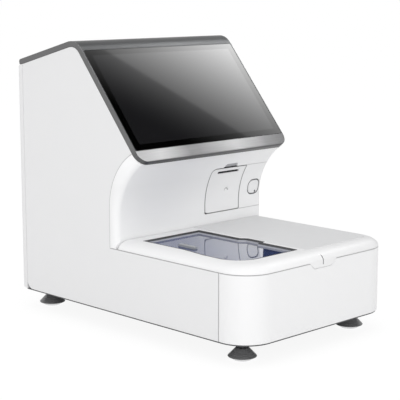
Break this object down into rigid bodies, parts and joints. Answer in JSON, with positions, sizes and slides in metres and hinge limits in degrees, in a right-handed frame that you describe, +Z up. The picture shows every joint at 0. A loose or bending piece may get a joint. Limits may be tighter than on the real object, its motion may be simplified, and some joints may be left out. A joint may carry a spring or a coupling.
{
  "type": "chemiluminescence immunoassay analyzer",
  "caption": "Bench-top immunoassay analyzer: hinged lid with a tinted window over a loading bay, sloped touch screen, paper door and levelling feet.",
  "frame": {"origin": "centre of the overall box on the bench under the feet", "axes": "+Z up, +Y from the front face to the back, +X to the right seen from the front"},
  "size_m": [0.4, 0.632, 0.5433],
  "materials": {
    "side_white": "fine satin",
    "front_white": "fine satin",
    "wall_white": "fine satin",
    "lid_white": "satin gloss",
    "panel_grey": "fine matte",
    "door_grey": "fine satin",
    "key_white": "satin",
    "ring_grey": "matte",
    "light_dark": "gloss",
    "tinted_clear": "gloss",
    "rubber_black": "matte",
    "band_metal": "brushed",
    "screen_black": "gloss",
    "display_grey": "matte",
    "chassis_steel": "matte",
    "frame_steel": "matte",
    "steel": "machined",
    "dark_steel": "satin",
    "aluminium": "anodised",
    "bay_grey": "matte",
    "tray_grey": "matte",
    "strip_white": "gloss",
    "black_plastic": "matte",
    "board_green": "satin",
    "paper_white": "matte",
    "foot_black": "satin"
  },
  "bodies": {
    "analyzer": {"left_side_cover": "side_white", "right_side_cover": "side_white", "front_cover": "front_white", "rear_cover": "side_white", "recess_fascia": "wall_white", "control_panel": "wall_white", "power_button_ring": "ring_grey", "button_switch": "black_plastic", "display_frame": "band_metal", "screen_glass": "screen_black", "display_module": "display_grey", "base_plate": "chassis_steel", "frame_plates": "frame_steel", "frame_crossbars": "frame_steel", "lid_hinge_brackets": "steel", "lid_buffers": "rubber_black", "catch_keeper": "steel", "loading_bay": "bay_grey", "incubator_block": "aluminium", "tray_rails": "steel", "tray_motor": "black_plastic", "pipette_beam": "aluminium", "light_detector": "aluminium", "pipette_pump": "aluminium", "power_supply": "aluminium", "main_board": "board_green", "finger_scoop": "ring_grey", "printer_bin": "black_plastic", "fan_housing": "black_plastic", "power_inlet": "black_plastic", "switch_housing": "black_plastic", "data_ports": "steel"},
    "lid": {"lid_frame": "lid_white", "lid_light_bar": "light_dark", "lid_window": "tinted_clear", "lid_gasket": "rubber_black", "lid_grey_panel": "panel_grey", "window_strip": "ring_grey", "lid_magnet": "steel", "lid_hinge_pins": "steel"},
    "paper_door": {"printer_door": "door_grey"},
    "platen": {"platen_roller": "rubber_black"},
    "paper": {"paper_roll": "paper_white"},
    "power_key": {"power_button": "key_white", "button_light": "light_dark"},
    "mains_rocker": {"switch_rocker": "black_plastic"},
    "tray": {"cartridge_tray": "tray_grey", "test_strips": "strip_white"},
    "drive_screw": {"tray_screw": "steel"},
    "carriage": {"pipette_carriage": "aluminium"},
    "pipette": {"pipette_head": "aluminium"},
    "fan": {"fan_rotor": "black_plastic"},
    "pad_front_left": {"foot_pad_front_left": "foot_black"},
    "stud_front_left": {"foot_stud_front_left": "dark_steel"},
    "pad_rear_left": {"foot_pad_rear_left": "foot_black"},
    "stud_rear_left": {"foot_stud_rear_left": "dark_steel"},
    "pad_front_right": {"foot_pad_front_right": "foot_black"},
    "stud_front_right": {"foot_stud_front_right": "dark_steel"},
    "pad_rear_right": {"foot_pad_rear_right": "foot_black"},
    "stud_rear_right": {"foot_stud_rear_right": "dark_steel"}
  },
  "joints": [
    {"name": "lid_hinge", "type": "hinge", "parent": "analyzer", "child": "lid", "pos_m": [0, 0.013, 0.171], "axis": [-1, 0, 0], "range_deg": [0, 60]},
    {"name": "paper_door_hinge", "type": "hinge", "parent": "analyzer", "child": "paper_door", "pos_m": [0.0815, 0.0202, 0.2004], "axis": [-1, 0, 0], "range_deg": [-75, 0]},
    {"name": "platen_turn", "type": "hinge", "parent": "paper_door", "child": "platen", "pos_m": [0.0815, 0.012, 0.28], "axis": [1, 0, 0], "continuous": true},
    {"name": "paper_turn", "type": "hinge", "parent": "analyzer", "child": "paper", "pos_m": [0.0815, 0.058, 0.2375], "axis": [1, 0, 0], "continuous": true},
    {"name": "power_key_press", "type": "slide", "parent": "analyzer", "child": "power_key", "axis": [0, 1, 0], "range_m": [0, 0.002], "stiffness_N_per_m": 500, "springref_m": -0.002},
    {"name": "mains_rocker_tilt", "type": "hinge", "parent": "analyzer", "child": "mains_rocker", "pos_m": [-0.092, 0.3095, 0.109], "axis": [-1, 0, 0], "range_deg": [0, 16]},
    {"name": "tray_slide", "type": "slide", "parent": "analyzer", "child": "tray", "axis": [0, 1, 0], "range_m": [0, 0.24]},
    {"name": "drive_screw_turn", "type": "hinge", "parent": "analyzer", "child": "drive_screw", "pos_m": [-0.09, -0.016, 0.09], "axis": [0, 1, 0], "continuous": true},
    {"name": "carriage_slide", "type": "slide", "parent": "analyzer", "child": "carriage", "axis": [1, 0, 0], "range_m": [-0.06, 0.06]},
    {"name": "pipette_lift", "type": "slide", "parent": "carriage", "child": "pipette", "axis": [0, 0, 1], "range_m": [-0.045, 0]},
    {"name": "fan_turn", "type": "hinge", "parent": "analyzer", "child": "fan", "pos_m": [0.095, 0.301, 0.369], "axis": [0, 1, 0], "continuous": true},
    {"name": "foot_front_left_height", "type": "slide", "parent": "analyzer", "child": "pad_front_left", "axis": [0, 0, -1], "range_m": [0, 0.008]},
    {"name": "foot_front_left_screw", "type": "hinge", "parent": "pad_front_left", "child": "stud_front_left", "pos_m": [-0.149, -0.259, 0.039], "axis": [0, 0, 1], "continuous": true},
    {"name": "foot_rear_left_height", "type": "slide", "parent": "analyzer", "child": "pad_rear_left", "axis": [0, 0, -1], "range_m": [0, 0.008]},
    {"name": "foot_rear_left_screw", "type": "hinge", "parent": "pad_rear_left", "child": "stud_rear_left", "pos_m": [-0.149, 0.28, 0.039], "axis": [0, 0, 1], "continuous": true},
    {"name": "foot_front_right_height", "type": "slide", "parent": "analyzer", "child": "pad_front_right", "axis": [0, 0, -1], "range_m": [0, 0.008]},
    {"name": "foot_front_right_screw", "type": "hinge", "parent": "pad_front_right", "child": "stud_front_right", "pos_m": [0.149, -0.259, 0.039], "axis": [0, 0, 1], "continuous": true},
    {"name": "foot_rear_right_height", "type": "slide", "parent": "analyzer", "child": "pad_rear_right", "axis": [0, 0, -1], "range_m": [0, 0.008]},
    {"name": "foot_rear_right_screw", "type": "hinge", "parent": "pad_rear_right", "child": "stud_rear_right", "pos_m": [0.149, 0.28, 0.039], "axis": [0, 0, 1], "continuous": true}
  ],
  "couplings": [
    {"joint": "drive_screw_turn", "follows": "tray_slide", "rad_per_m": 628.32},
    {"joint": "foot_front_left_screw", "follows": "foot_front_left_height", "rad_per_m": 5026.5},
    {"joint": "foot_rear_left_screw", "follows": "foot_rear_left_height", "rad_per_m": 5026.5},
    {"joint": "foot_front_right_screw", "follows": "foot_front_right_height", "rad_per_m": 5026.5},
    {"joint": "foot_rear_right_screw", "follows": "foot_rear_right_height", "rad_per_m": 5026.5}
  ]
}
